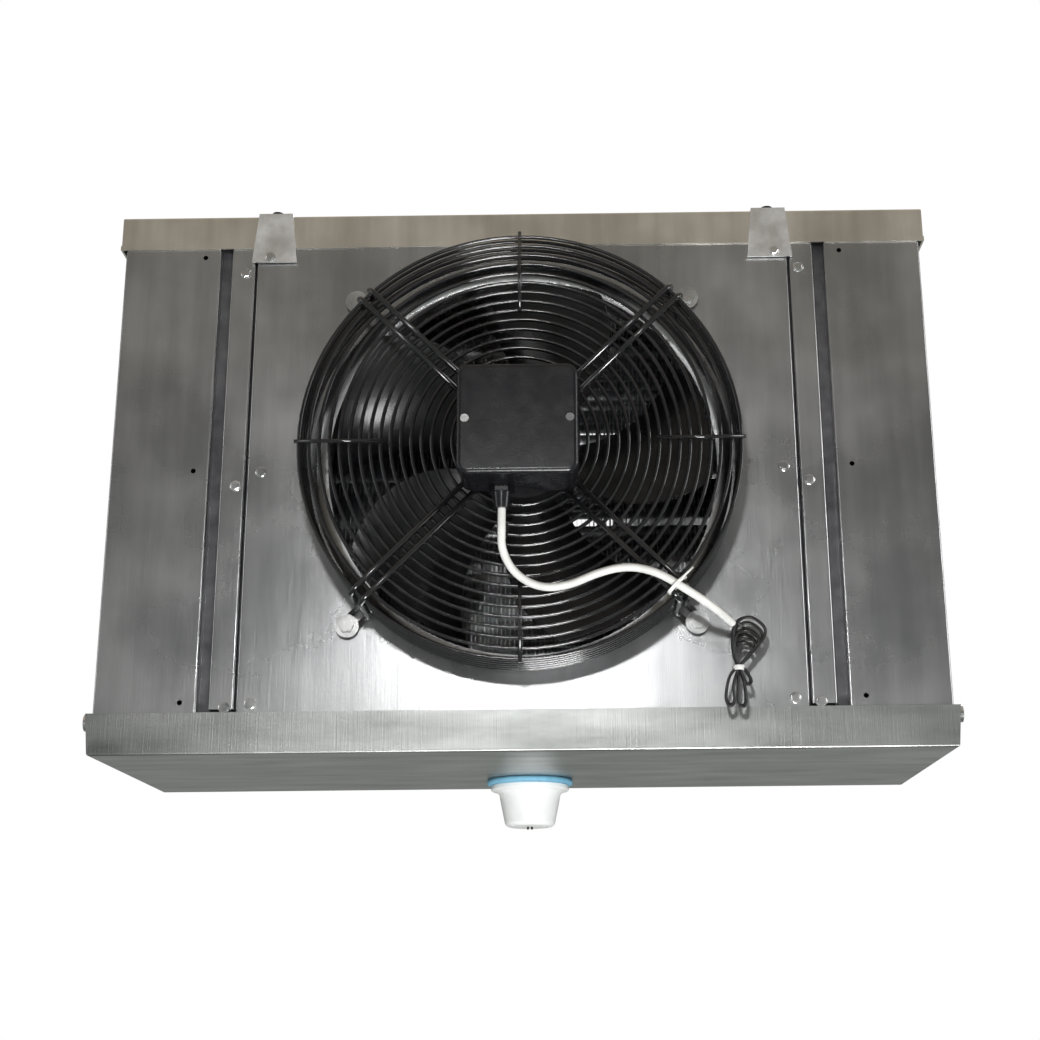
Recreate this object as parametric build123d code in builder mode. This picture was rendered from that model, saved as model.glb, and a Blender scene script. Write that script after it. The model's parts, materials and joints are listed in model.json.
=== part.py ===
from build123d import *
from math import acos, ceil, cos, pi, radians, sin, tan
import os

# Walk-in unit cooler: a ceiling-hung evaporator with one fan, in millimetres.
# The origin is on the plane of the hanger brackets' top faces, at the centre of their four slots.
# +X is to the right for someone facing the fan, -Y is the fan side, +Z is up.

# ---------------------------------------------------------------- driving dimensions
sheet = 1.2                # thickness of the casing sheets
seat_gap = 0.3             # play between sheets that are screwed together
bend_r = 2.4               # outside radius of the sheets' folds

body_w = 867.0             # over the two end covers
roof_w = body_w + 10.0     # roof over its end lips
roof_d = 325.0             # roof over its front and rear lips
roof_lip = 38.5            # height of the roof's lips
hem_h = 5.0                # folded hem along the lower edge of the lips
hem_t = 0.8

unit_h = 589.0             # roof top to pan underside
hanger_bolt_head_r = 6.0   # bolts that hold the hangers to the roof
hanger_bolt_head_t = 4.6
hanger_bolt_in = 8.0       # from the roof's lips
hanger_t = 2.0             # galvanised hanger brackets
hanger_x = 540.0           # spacing of the hanger slots, side to side
hanger_y = roof_d - 60.0   # spacing of the hanger slots, front to rear
hanger_w_top = 37.0
hanger_w_low = 49.0
hanger_leg_top = 62.0      # length of the leg that lies on the roof
hanger_leg_down = 58.0     # length of the leg that hangs over the lip
slot_r = 5.5
slot_len = 18.0

cover_in = body_w / 2 - 104.5       # inner edge of the end covers' front flanges, from the centre
cover_rear_in = cover_in - 9.0      # inner edge of their rear flanges
return_d = 12.0            # depth of the folded returns at the seams
strip_out = cover_in - 12.0         # seam strips, from the centre
strip_in = strip_out - 26.0
strip_lift = 3.0           # gap under the seam strips, above the pan
fan_plate_half = strip_in - 2.0     # half width of the fan plate
tuck = 24.0                # how far the casing reaches down inside the pan

fan_drop = 285.0           # fan axis below the origin
throat_r = 206.0           # fan opening at its narrowest
mouth_r = 221.0            # fan opening at the plate
throat_d = 44.0            # depth of the opening's collar

pan_w = body_w + 13.0      # pan over its upper edge
pan_w_low = pan_w - 8.0    # pan over its underside
pan_lip = 42.3             # height of the pan's walls
pan_rear_low = 8.0         # how far the rear wall stays under the pivots
pivot_y = roof_d / 2 - 15.0         # pan screws and pivots, from the centre
pivot_drop = 7.3           # pan screws and pivots, under the pan's edge
pivot_r = 2.5
pivot_play = 0.05
pan_head_r = 8.5
pan_head_t = 3.6

drain_y = roof_d / 2 - 85.0         # drain fitting, behind the centre
drain_r = 48.6             # gasket
flange_r = 44.0
cup_r = 33.5
cup_r_low = 28.5
cup_h = 46.0
cup_round = 6.0            # rounding of the cup's foot
gasket_t = 4.0
flange_t = 5.0
thread_h = 9.0             # neck above the pan floor
drain_nut_r = 26.0
drain_nut_t = 6.0
spigot_r = 16.0            # threaded neck through the pan

guard_r = 227.0            # fan guard over its rings
guard_face = 66.5          # the guard's face, in front of the fan plate
wire = 4.0                 # ring wire
rod = 6.0                  # arm and spoke wire
ring_pitch = 10.4
face_rings = 16
side_rings = 5
side_pitch = 11.0
ring_flat = 1.1            # how far a ring's flats may stand inside its true circle
arm_gap = 14.0             # between the centre lines of an arm's two rods
arm_bend = 9.0             # outside radius of the arms' bends
foot_r = 252.0             # guard bolts, from the fan axis
spoke_in = 139.0           # inner ends of the short spokes, from the fan axis
bolt_tail = 8.0            # bolt ends behind the fan plate
bolt_r = 4.0
bolt_play = 0.5
washer_r = 12.0
washer_t = 2.0
bolt_head = 13.0           # across flats
bolt_head_t = 5.3

blade_count = 5
blade_tip_r = 200.0
blade_t = 3.0
blade_camber = 0.07        # rise of a blade's curve, per chord
blade_centre = -137.0      # mid-depth of the blades
blade_turn = 0.0           # how far the first blade is turned from +X
hub_r = 57.0               # band that carries the blades
rotor_r = 52.0             # rotor can of the outer-rotor motor
rotor_wall = 3.0
rotor_front = -208.0
rotor_rear = -112.0
shaft_r = 7.5
bearing_r = 15.0
bearing_t = 11.0
bearing_play = 0.05
stator_r = 44.0
stator_tube_r = 22.0
flange_plate_r = 61.0
flange_plate_t = 5.0

box_w = 118.0              # terminal box on the motor
box_h = 112.0
box_base_d = 39.0
box_lid_d = 25.0
box_corner = 12.0
box_wall = 3.0
box_screw_x = 51.5
box_edge = 5.0             # rounding of the lid's front edge
box_ledge = 0.75           # how far the lid stands over the base
lid_recess_r = 4.6
lid_recess_d = 3.0
lid_screw_r = 4.2
lid_screw_t = 2.4
gland_x = -17.0
gland_nut = 22.0
gland_nut_h = 8.0
gland_r = 9.5
gland_h = 16.0

lead_d = 8.0               # white fan lead
hank_t = 15.0              # folded conductors at its end
hank_neck = 14.0
tie_t = 1.2                # nylon ties
tie_w = 3.6
tie_play = 0.3
lead_tie_at = 0.74         # share of the lead's length
hank_tie_drop = 46.0

coil_front = 8.0           # front and rear faces of the fin pack
coil_rear = roof_d / 2 - 6.5
coil_low = 8.0             # fin pack above the casing's lower edge
coil_high = 10.0           # fin pack under the roof
coil_half = strip_in - 4.0 # half length of the fin pack
tube_sheet_x = strip_in - 1.0       # inner faces of the tube sheets
tube_sheet_t = 1.5
fin_t = 0.8
fin_pitch = 14.35
tube_r = 7.5
tube_sides = 8
tube_rows = 4
tube_levels = 10
bend_reach = 24.0          # return bends, past the tube sheets
header_r = 14.0
header_x = strip_in + 35.0
suction_r = 11.1           # 7/8 inch copper tube
liquid_r = 6.35            # 1/2 inch copper tube
stub_reach = 30.0          # connection stubs, past the casing's rear face
stub_play = 4.0            # room round the stubs where they leave the casing
elbow_t = 1.5              # wall that a brazed elbow adds round its stub
elbow_reach = 4.0          # elbow past the other tube's surface
capillary_r = 2.5
distributor_x = body_w / 2 - 57.5
distributor_back = 90.0    # behind the casing's front
stub_pitch = 60.0          # stubs above the casing's lower edge, and above each other
distributor_r = 15.0
distributor_h = 34.0

screw_flats = 9.0          # small hexagon screws
screw_head_t = 2.8
outer_screw_x = cover_in + 17.0     # empty holes in the end covers
strip_screw_x = strip_in + 9.5
plate_screw_x = strip_in - 16.5
empty_hole_r = 2.6

# ---------------------------------------------------------------- levels and planes
roof_top = -hanger_t
body_top = roof_top - sheet - seat_gap
pan_floor = roof_top - unit_h
pan_top = pan_floor + pan_lip
body_low = pan_top - tuck
front_y = -roof_d / 2 + sheet + seat_gap
rear_y = -front_y
pivot_z = pan_top - pivot_drop
guard_y = front_y - guard_face
arm_y = guard_y - rod
seam_y = front_y + return_d
coil_top = roof_top - coil_high
fan_z = -fan_drop

os.makedirs("parts", exist_ok=True)


def save(builder, name):
    """Name a finished piece and write it."""
    builder.part.label = name
    export_step(builder.part, f"parts/{name}.step")


def bar(x0, y0, x1, y1, mode=Mode.ADD):
    """A rectangle between two corners, in the sketch being drawn."""
    with Locations(((x0 + x1) / 2, (y0 + y1) / 2)):
        Rectangle(abs(x1 - x0), abs(y1 - y0), mode=mode)


def fold(profile, corners):
    """Round the folds of a sheet's cross-section: each corner is where its outside faces meet, and
    the direction from there to the inside of the fold."""
    for x, y, inward_x, inward_y in corners:
        for reach, radius in ((0.0, bend_r), (sheet, bend_r - sheet)):
            place = Vector(x + inward_x * reach, y + inward_y * reach, 0)
            fillet(profile.vertices().sort_by_distance(place)[0], radius)


def upright(y):
    """An upright plane across the unit, seen from the fan side: X, then Z. It extrudes forwards."""
    return Plane(origin=(0, y, 0), x_dir=(1, 0, 0), z_dir=(0, -1, 0))


def fan_plane(y):
    """The same, with its origin on the fan axis."""
    return Plane(origin=(0, y, fan_z), x_dir=(1, 0, 0), z_dir=(0, -1, 0))


def radial_plane(angle, shift=0.0):
    """The plane through the fan axis at an angle, moved sideways: radius, then depth."""
    out = Vector(cos(radians(angle)), 0, sin(radians(angle)))
    side = Vector(-out.Z, 0, out.X)
    return Plane(origin=Vector(0, 0, fan_z) + side * shift, x_dir=out, z_dir=side)


def end_plane(x):
    """An upright plane from front to rear: Y, then Z. It extrudes to the right."""
    return Plane(origin=(x, 0, 0), x_dir=(0, 1, 0), z_dir=(1, 0, 0))


# ---------------------------------------------------------------- roof and hangers
slot_places = [(x, y) for x in (-hanger_x / 2, hanger_x / 2) for y in (-hanger_y / 2, hanger_y / 2)]
hanger_bolt_y = roof_d / 2 - hanger_bolt_in
hanger_bolt_places = [(x, y) for x in (-hanger_x / 2, hanger_x / 2) for y in (-hanger_bolt_y, hanger_bolt_y)]

with BuildPart() as roof_panel:
    with BuildSketch(Plane.XY.offset(roof_top)):
        Rectangle(roof_w, roof_d)
    extrude(amount=-roof_lip)
    fillet(roof_panel.faces().sort_by(Axis.Z)[-1].edges(), bend_r)
    with BuildSketch(Plane.XY.offset(roof_top - sheet)):
        Rectangle(roof_w - 2 * sheet, roof_d - 2 * sheet)
    extrude(amount=-roof_lip, mode=Mode.SUBTRACT)
    with BuildSketch(Plane.XY.offset(roof_top - roof_lip)):
        Rectangle(roof_w + 2 * hem_t, roof_d + 2 * hem_t)
        Rectangle(roof_w - 2 * sheet, roof_d - 2 * sheet, mode=Mode.SUBTRACT)
    extrude(amount=hem_h)
    with BuildSketch(Plane.XY.offset(roof_top)):
        with Locations(*slot_places):
            SlotOverall(slot_len, 2 * slot_r)
        with Locations(*hanger_bolt_places):
            Circle(pivot_r + pivot_play)
    extrude(amount=-sheet, mode=Mode.SUBTRACT)
save(roof_panel, "roof_panel")

with BuildPart() as hanger_brackets:
    for side in (-1, 1):
        face = side * (roof_d / 2 + hem_t)
        outer = face + side * hanger_t
        for x in (-hanger_x / 2, hanger_x / 2):
            with BuildSketch(Plane.XY):
                with Locations((x, outer - side * hanger_leg_top / 2)):
                    Rectangle(hanger_w_top, hanger_leg_top)
            extrude(amount=-hanger_t)
            with BuildSketch(upright(min(face, outer) + hanger_t)):
                with BuildLine():
                    Polyline(
                        (x - hanger_w_top / 2, 0),
                        (x + hanger_w_top / 2, 0),
                        (x + hanger_w_low / 2, -hanger_leg_down),
                        (x - hanger_w_low / 2, -hanger_leg_down),
                        close=True,
                    )
                make_face()
            extrude(amount=hanger_t)
    with BuildSketch(Plane.XY):
        with Locations(*slot_places):
            SlotOverall(slot_len, 2 * slot_r)
        with Locations(*hanger_bolt_places):
            Circle(pivot_r + pivot_play)
    extrude(amount=-hanger_t, mode=Mode.SUBTRACT)
save(hanger_brackets, "hanger_brackets")

with BuildPart() as hanger_bolts:
    with BuildSketch():
        with Locations(*hanger_bolt_places):
            Circle(hanger_bolt_head_r)
    extrude(amount=hanger_bolt_head_t)
    with BuildSketch():
        with Locations(*hanger_bolt_places):
            Circle(pivot_r)
    extrude(amount=-(hanger_t + sheet + 1.5))
save(hanger_bolts, "hanger_bolts")

# ---------------------------------------------------------------- fan plate
foot_angles = (45, 135, 225, 315)
foot_places = [(foot_r * cos(radians(a)), foot_r * sin(radians(a))) for a in foot_angles]

with BuildPart() as fan_plate:
    with BuildSketch(Plane.XY.offset(body_low)) as profile:
        bar(-fan_plate_half, front_y, fan_plate_half, front_y + sheet)
        for side in (-1, 1):
            bar(side * fan_plate_half, front_y, side * (fan_plate_half - sheet), seam_y)
        fold(profile, [(side * fan_plate_half, front_y, -side, 1) for side in (-1, 1)])
    extrude(amount=body_top - body_low)
    with BuildSketch(fan_plane(front_y)):
        Circle(mouth_r)
        with Locations(*foot_places):
            Circle(bolt_r + bolt_play)
    extrude(amount=-sheet, mode=Mode.SUBTRACT)
    # The rolled mouth: a quarter round from the plate into the collar, turned about the fan axis.
    lip_r = mouth_r - throat_r
    with BuildSketch(radial_plane(90)):
        with BuildLine():
            Line((mouth_r, front_y), (mouth_r, front_y + sheet))
            RadiusArc((mouth_r, front_y + sheet), (throat_r + sheet, front_y + lip_r), -(lip_r - sheet))
            Line((throat_r + sheet, front_y + lip_r), (throat_r + sheet, front_y + throat_d))
            Line((throat_r + sheet, front_y + throat_d), (throat_r, front_y + throat_d))
            Line((throat_r, front_y + throat_d), (throat_r, front_y + lip_r))
            RadiusArc((throat_r, front_y + lip_r), (mouth_r, front_y), lip_r)
        make_face()
    revolve(axis=Axis((0, 0, fan_z), (0, 1, 0)))
save(fan_plate, "fan_plate")

# ---------------------------------------------------------------- end covers, seam strips, tube sheets
outer_screw_z = (-50.0, -294.0, -538.5)
suction_z = body_low + stub_pitch
liquid_z = suction_z + stub_pitch
row_y = [coil_front + (i + 0.5) * (coil_rear - coil_front) / tube_rows for i in range(tube_rows)]
liquid_x = distributor_x
suction_x = distributor_x


def end_cover(side):
    """One end cover: a channel open towards the coil, with holes for screws and pipes."""
    outer = side * body_w / 2
    with BuildPart() as cover:
        with BuildSketch(Plane.XY.offset(body_low)) as profile:
            bar(outer, front_y, outer - side * sheet, rear_y)
            bar(outer, front_y, side * cover_in, front_y + sheet)
            bar(side * cover_in, front_y, side * (cover_in + sheet), seam_y)
            bar(outer, rear_y - sheet, side * cover_rear_in, rear_y)
            fold(profile, ((outer, front_y, -side, 1), (outer, rear_y, -side, -1)))
            fold(profile, ((side * cover_in, front_y, side, 1),))
        extrude(amount=body_top - body_low)
        with BuildSketch(upright(front_y)):
            with Locations(*[(side * outer_screw_x, z) for z in outer_screw_z]):
                Circle(empty_hole_r)
        extrude(amount=-sheet, mode=Mode.SUBTRACT)
        with BuildSketch(end_plane(outer)):
            with Locations((pivot_y, pivot_z)):
                Circle(pivot_r + pivot_play)
            bar(-pivot_y - 1.4 * pivot_r, body_low, -pivot_y + 1.4 * pivot_r, pivot_z + 1.4 * pivot_r)
        extrude(amount=-side * sheet, mode=Mode.SUBTRACT)
        if side > 0:
            with BuildSketch(upright(rear_y)):
                with Locations((suction_x, suction_z)):
                    Circle(suction_r + stub_play)
                with Locations((liquid_x, liquid_z)):
                    Circle(liquid_r + stub_play)
            extrude(amount=sheet, mode=Mode.SUBTRACT)
    return cover


save(end_cover(-1), "end_cover_left")
save(end_cover(1), "end_cover_right")

for side, name in ((-1, "left"), (1, "right")):
    with BuildPart() as seam_strip:
        with BuildSketch(Plane.XY.offset(pan_top + strip_lift)) as profile:
            bar(side * strip_in, front_y, side * strip_out, front_y + sheet)
            bar(side * strip_in, front_y, side * (strip_in + sheet), seam_y)
            bar(side * strip_out, front_y, side * (strip_out - sheet), seam_y)
            fold(profile, ((side * strip_in, front_y, side, 1), (side * strip_out, front_y, -side, 1)))
        extrude(amount=body_top - pan_top - strip_lift)
    save(seam_strip, f"seam_strip_{name}")

    with BuildPart() as tube_sheet:
        inner = side * tube_sheet_x
        with BuildSketch(Plane.XY.offset(body_low)):
            bar(inner, seam_y, inner + side * tube_sheet_t, rear_y)
            bar(side * (plate_screw_x - 10), seam_y, side * (cover_in + 6), seam_y + tube_sheet_t)
            bar(inner, rear_y - tube_sheet_t, side * (cover_rear_in - 2), rear_y)
        extrude(amount=body_top - body_low)
    save(tube_sheet, f"tube_sheet_{name}")

# ---------------------------------------------------------------- coil
fin_count = int(2 * coil_half / fin_pitch) + 1
coil_bottom = body_low + coil_low
level_z = [coil_bottom + (i + 0.5) * (coil_top - coil_bottom) / tube_levels for i in range(tube_levels)]
tube_places = [(y, z) for y in row_y for z in level_z]

with BuildPart() as fin_pack:
    for i in range(fin_count):
        x = (i - (fin_count - 1) / 2) * fin_pitch
        with BuildSketch(end_plane(x - fin_t / 2)):
            bar(coil_front, coil_bottom, coil_rear, coil_top)
        extrude(amount=fin_t)
save(fin_pack, "fin_pack")

sheet_out = tube_sheet_x + tube_sheet_t
bend_half = tube_r * 0.85

with BuildPart() as coil_tubes:
    with BuildSketch(end_plane(-sheet_out)):
        with Locations(*tube_places):
            RegularPolygon(tube_r, tube_sides)
    extrude(amount=2 * sheet_out)
save(coil_tubes, "coil_tubes")


def return_bends(side, rows):
    """U-shaped bends that join the tubes of neighbouring rows, outside one tube sheet."""
    start = side * sheet_out
    end = start + side * bend_reach
    with BuildPart() as bends:
        for a, b in rows:
            low, high = row_y[a] - bend_half, row_y[b] + bend_half
            corner = (row_y[b] - row_y[a]) / 2
            for z in level_z:
                with BuildSketch(Plane.XY.offset(z - bend_half)):
                    with BuildLine():
                        Polyline(
                            (start, low),
                            (end - side * corner / 2, low),
                            (end, low + corner / 2),
                            (end, high - corner / 2),
                            (end - side * corner / 2, high),
                            (start, high),
                            close=True,
                        )
                    make_face()
                    inside = end - side * 2 * bend_half
                    bar(start, low + 2 * bend_half, inside, high - 2 * bend_half, Mode.SUBTRACT)
                extrude(amount=2 * bend_half)
    return bends


save(return_bends(-1, ((0, 1), (2, 3))), "return_bends_left")
save(return_bends(1, ((1, 2),)), "return_bends_right")

# The rear row drains into the suction header, and each front tube is fed by a capillary.
with BuildPart() as suction_header:
    with BuildSketch(Plane(origin=(header_x, row_y[-1], coil_bottom), z_dir=(0, 0, 1))):
        Circle(header_r)
    extrude(amount=coil_top - coil_bottom)
    with BuildSketch(end_plane(sheet_out)):
        with Locations(*[(row_y[-1], z) for z in level_z]):
            RegularPolygon(tube_r, tube_sides)
    extrude(amount=header_x - sheet_out)
    with BuildSketch(end_plane(header_x)):
        with Locations((row_y[-1], suction_z)):
            Circle(suction_r)
    extrude(amount=suction_x - header_x + suction_r)
    with BuildSketch(upright(row_y[-1])):
        with Locations((suction_x, suction_z)):
            Circle(suction_r)
    extrude(amount=-(rear_y + stub_reach - row_y[-1]))
    with BuildSketch(upright(row_y[-1] - suction_r - elbow_t)):
        with Locations((suction_x, suction_z)):
            Circle(suction_r + elbow_t)
    extrude(amount=-(2 * suction_r + elbow_t + elbow_reach))
save(suction_header, "suction_header")

distributor_y = front_y + distributor_back
distributor_z = (level_z[0] + level_z[-1]) / 2
with BuildPart() as distributor:
    with BuildSketch(Plane(origin=(distributor_x, distributor_y, distributor_z), z_dir=(0, 0, 1))):
        Circle(distributor_r)
    extrude(amount=distributor_h)
    with BuildSketch(Plane(origin=(distributor_x, distributor_y, distributor_z), z_dir=(0, 0, -1))):
        Circle(liquid_r)
    extrude(amount=distributor_z - liquid_z)
    with BuildSketch(upright(distributor_y)):
        with Locations((liquid_x, liquid_z)):
            Circle(liquid_r)
    extrude(amount=-(rear_y + stub_reach - distributor_y))
    with BuildSketch(upright(distributor_y - liquid_r - elbow_t)):
        with Locations((liquid_x, liquid_z)):
            Circle(liquid_r + elbow_t)
    extrude(amount=-(2 * liquid_r + elbow_t + elbow_reach))
save(distributor, "distributor")

# Each capillary leaves the distributor's rim and ends on its own tube of the front row.
with BuildPart() as capillaries:
    for i, z in enumerate(level_z):
        spread = (i - (tube_levels - 1) / 2) / tube_levels
        start_x = distributor_x - distributor_r - capillary_r - seat_gap
        start_z = distributor_z + distributor_h * (0.5 + 0.9 * spread)
        start = Vector(start_x, distributor_y, start_z)
        end = Vector(sheet_out + capillary_r, row_y[0], z)
        with BuildSketch(Plane(origin=start, z_dir=end - start)):
            RegularPolygon(capillary_r, tube_sides - 2)
        extrude(amount=(end - start).length)
save(capillaries, "capillaries")

# ---------------------------------------------------------------- drain pan, swung on its rear pivots
def pan_corners(wall):
    """The corners of the pan's cross-section, wider at its upper edge, moved in by a wall."""
    top = pan_w / 2 - wall
    low = pan_w_low / 2 - wall
    return (-top, pan_top), (top, pan_top), (low, pan_floor + wall), (-low, pan_floor + wall)


with BuildPart() as drain_pan:
    with BuildSketch(upright(roof_d / 2)):
        Polygon(*pan_corners(0), align=None)
    extrude(amount=roof_d)
    fillet(drain_pan.faces().sort_by(Axis.Z)[0].edges(), bend_r)
    with BuildSketch(upright(roof_d / 2 - sheet)):
        Polygon(*pan_corners(sheet), align=None)
    extrude(amount=roof_d - 2 * sheet, mode=Mode.SUBTRACT)
    with BuildSketch(upright(roof_d / 2)):
        bar(-pan_w / 2 + sheet, pan_top, pan_w / 2 - sheet, pivot_z - pan_rear_low)
    extrude(amount=sheet, mode=Mode.SUBTRACT)
    with BuildSketch(end_plane(-pan_w / 2)):
        with Locations((-pivot_y, pivot_z), (pivot_y, pivot_z)):
            Circle(pivot_r + pivot_play)
    extrude(amount=pan_w, mode=Mode.SUBTRACT)
    with BuildSketch(Plane.XY.offset(pan_floor)):
        with Locations((0, drain_y)):
            Circle(spigot_r + bolt_play)
    extrude(amount=sheet, mode=Mode.SUBTRACT)
save(drain_pan, "drain_pan")

for y, name in ((-pivot_y, "pan_screws"), (pivot_y, "pan_pivots")):
    with BuildPart() as screws:
        for side in (-1, 1):
            head = side * (pan_w / 2 + seat_gap)
            tip = side * (body_w / 2 - sheet - 2 * pivot_r)
            with BuildSketch(end_plane(head)):
                with Locations((y, pivot_z)):
                    Circle(pan_head_r)
            extrude(amount=side * pan_head_t)
            with BuildSketch(end_plane(min(head, tip))):
                with Locations((y, pivot_z)):
                    Circle(pivot_r)
            extrude(amount=abs(head - tip))
    save(screws, name)


def drain_plane(z):
    """A level plane with its origin on the drain's axis."""
    return Plane(origin=(0, drain_y, z), z_dir=(0, 0, 1))


with BuildPart() as drain_gasket:
    with BuildSketch(drain_plane(pan_floor)):
        Circle(drain_r)
        Circle(spigot_r + bolt_play, mode=Mode.SUBTRACT)
    extrude(amount=-gasket_t)
save(drain_gasket, "drain_gasket")

with BuildPart() as drain_fitting:
    with BuildSketch(drain_plane(pan_floor - gasket_t)):
        Circle(flange_r)
    extrude(amount=-flange_t)
    cup_top = pan_floor - gasket_t - flange_t
    with BuildSketch(Plane(origin=(0, drain_y, cup_top), x_dir=(1, 0, 0), z_dir=(0, -1, 0))):
        with BuildLine():
            Polyline(
                (0, 0),
                (flange_r - cup_round, 0),
                (cup_r, -2 * flange_t),
                (cup_r_low, -cup_h + cup_round),
                (cup_r_low - cup_round, -cup_h),
                (0, -cup_h),
                close=True,
            )
        make_face()
    revolve(axis=Axis((0, drain_y, 0), (0, 0, 1)))
    with BuildSketch(drain_plane(pan_floor - gasket_t)):
        Circle(spigot_r)
    extrude(amount=gasket_t + sheet + thread_h)
save(drain_fitting, "drain_fitting")

with BuildPart() as drain_nut:
    with BuildSketch(drain_plane(pan_floor + sheet)):
        RegularPolygon(drain_nut_r, 6)
        Circle(spigot_r + pivot_play, mode=Mode.SUBTRACT)
    extrude(amount=drain_nut_t)
save(drain_nut, "drain_nut")

# ---------------------------------------------------------------- fan guard
def ring(radius):
    """A ring of wire as a many-sided outline, with flats that stay close to the true circle."""
    sides = ceil(pi / acos(1 - ring_flat / radius))
    RegularPolygon(radius, sides)
    RegularPolygon(radius - wire, sides, mode=Mode.SUBTRACT)


with BuildPart() as guard_rings:
    with BuildSketch(fan_plane(guard_y + wire)):
        for i in range(face_rings):
            ring(guard_r - i * ring_pitch)
    extrude(amount=wire)
save(guard_rings, "guard_rings")

with BuildPart() as guard_side_rings:
    for i in range(side_rings):
        with BuildSketch(fan_plane(guard_y + wire + (i + 1) * side_pitch)):
            ring(guard_r)
        extrude(amount=wire)
save(guard_side_rings, "guard_side_rings")

side_rod = guard_r + rod / 2 + bearing_play
foot_y = front_y - rod / 2
arm_in = flange_plate_r - 12.0
with BuildPart() as guard_arms:
    for angle in foot_angles:
        for shift in (-arm_gap / 2, arm_gap / 2):
            with BuildSketch(radial_plane(angle, shift - rod / 2)) as profile:
                bar(arm_in, arm_y, side_rod + rod / 2, arm_y + rod)
                bar(side_rod - rod / 2, arm_y, side_rod + rod / 2, front_y)
                bar(side_rod - rod / 2, front_y - rod, foot_r, front_y)
                rim = profile.vertices().sort_by_distance(Vector(side_rod + rod / 2, arm_y, 0))[0]
                fillet(rim, arm_bend)
                heel = profile.vertices().sort_by_distance(Vector(side_rod - rod / 2, front_y, 0))[0]
                fillet(heel, rod)
            extrude(amount=rod)
    with BuildSketch(fan_plane(front_y)):
        with Locations(*foot_places):
            Circle(arm_gap / 2 + rod / 2)
            Circle(bolt_r + bolt_play, mode=Mode.SUBTRACT)
    extrude(amount=rod)
    with BuildSketch(fan_plane(front_y)):
        with Locations(*foot_places):
            Circle(bolt_r + bolt_play)
    extrude(amount=rod, mode=Mode.SUBTRACT)
save(guard_arms, "guard_arms")

spoke_out = guard_r + wire
with BuildPart() as guard_spokes:
    for angle in (0, 90, 180, 270):
        with BuildSketch(radial_plane(angle, -wire / 2)):
            bar(spoke_in, guard_y - wire, spoke_out, guard_y)
        extrude(amount=wire)
save(guard_spokes, "guard_spokes")

with BuildPart() as guard_washers:
    with BuildSketch(fan_plane(front_y - rod)):
        with Locations(*foot_places):
            Circle(washer_r)
            Circle(bolt_r + bolt_play, mode=Mode.SUBTRACT)
    extrude(amount=washer_t)
save(guard_washers, "guard_washers")

with BuildPart() as guard_bolts:
    with BuildSketch(fan_plane(front_y - rod - washer_t)):
        with Locations(*foot_places):
            RegularPolygon(bolt_head / 2, 6, major_radius=False)
    extrude(amount=bolt_head_t)
    with BuildSketch(fan_plane(front_y - rod - washer_t)):
        with Locations(*foot_places):
            Circle(bolt_r)
    extrude(amount=-(rod + washer_t + sheet + bolt_tail))
save(guard_bolts, "guard_bolts")

# ---------------------------------------------------------------- outer-rotor motor
stator_front = guard_y + flange_plate_t
bearing_places = (rotor_front + 14.0, rotor_rear - 30.0)
with BuildPart() as motor_stator:
    with BuildSketch(fan_plane(stator_front)):
        Circle(flange_plate_r)
    extrude(amount=flange_plate_t)
    with BuildSketch(fan_plane(stator_front)):
        Circle(stator_tube_r)
    extrude(amount=-(rotor_rear - 14.0 - stator_front))
    with BuildSketch(fan_plane(rotor_front + 10.0)):
        Circle(stator_r)
    extrude(amount=-(rotor_rear - rotor_front - 34.0))
    with BuildSketch(fan_plane(rotor_front)):
        Circle(shaft_r + 2.0)
    extrude(amount=-(rotor_rear - rotor_front), mode=Mode.SUBTRACT)
    for y in bearing_places:
        with BuildSketch(fan_plane(y)):
            Circle(bearing_r + 0.01)
        extrude(amount=-bearing_t, mode=Mode.SUBTRACT)
save(motor_stator, "motor_stator")

with BuildPart() as motor_bearings:
    for y in bearing_places:
        with BuildSketch(fan_plane(y)):
            Circle(bearing_r)
            Circle(shaft_r + bearing_play, mode=Mode.SUBTRACT)
        extrude(amount=-bearing_t)
save(motor_bearings, "motor_bearings")

with BuildPart() as rotor_can:
    with BuildSketch(fan_plane(rotor_front)):
        Circle(rotor_r)
        Circle(rotor_r - rotor_wall, mode=Mode.SUBTRACT)
    extrude(amount=-(rotor_rear - rotor_front))
    with BuildSketch(fan_plane(rotor_rear)):
        Circle(rotor_r)
        Circle(shaft_r, mode=Mode.SUBTRACT)
    extrude(amount=rotor_wall)
save(rotor_can, "rotor_can")

with BuildPart() as motor_shaft:
    with BuildSketch(fan_plane(rotor_rear)):
        Circle(shaft_r)
    extrude(amount=rotor_rear - rotor_front - 8.0)
save(motor_shaft, "motor_shaft")

# ---------------------------------------------------------------- impeller with sickle blades
# Each row is a section of the blade: radius, chord, pitch from the plane of rotation, forward sweep.
blade_sections = (
    (hub_r - 2.0, 0.36 * blade_tip_r, 42.0, 0.0),
    (0.50 * blade_tip_r, 0.56 * blade_tip_r, 33.0, -2.0),
    (0.75 * blade_tip_r, 0.73 * blade_tip_r, 27.0, 6.0),
    (blade_tip_r, 0.86 * blade_tip_r, 22.0, 20.0),
)


def blade_plane(radius, pitch, skew):
    """The plane square to a blade's radius, with its first axis along the blade's chord."""
    turn = radians(skew)
    out = Vector(cos(turn), 0, sin(turn))
    around = Vector(-sin(turn), 0, cos(turn))
    run = around * cos(radians(pitch)) + Vector(0, 1, 0) * sin(radians(pitch))
    centre = Vector(0, blade_centre, fan_z) + out * radius
    return Plane(origin=centre, x_dir=run, z_dir=out)


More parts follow.
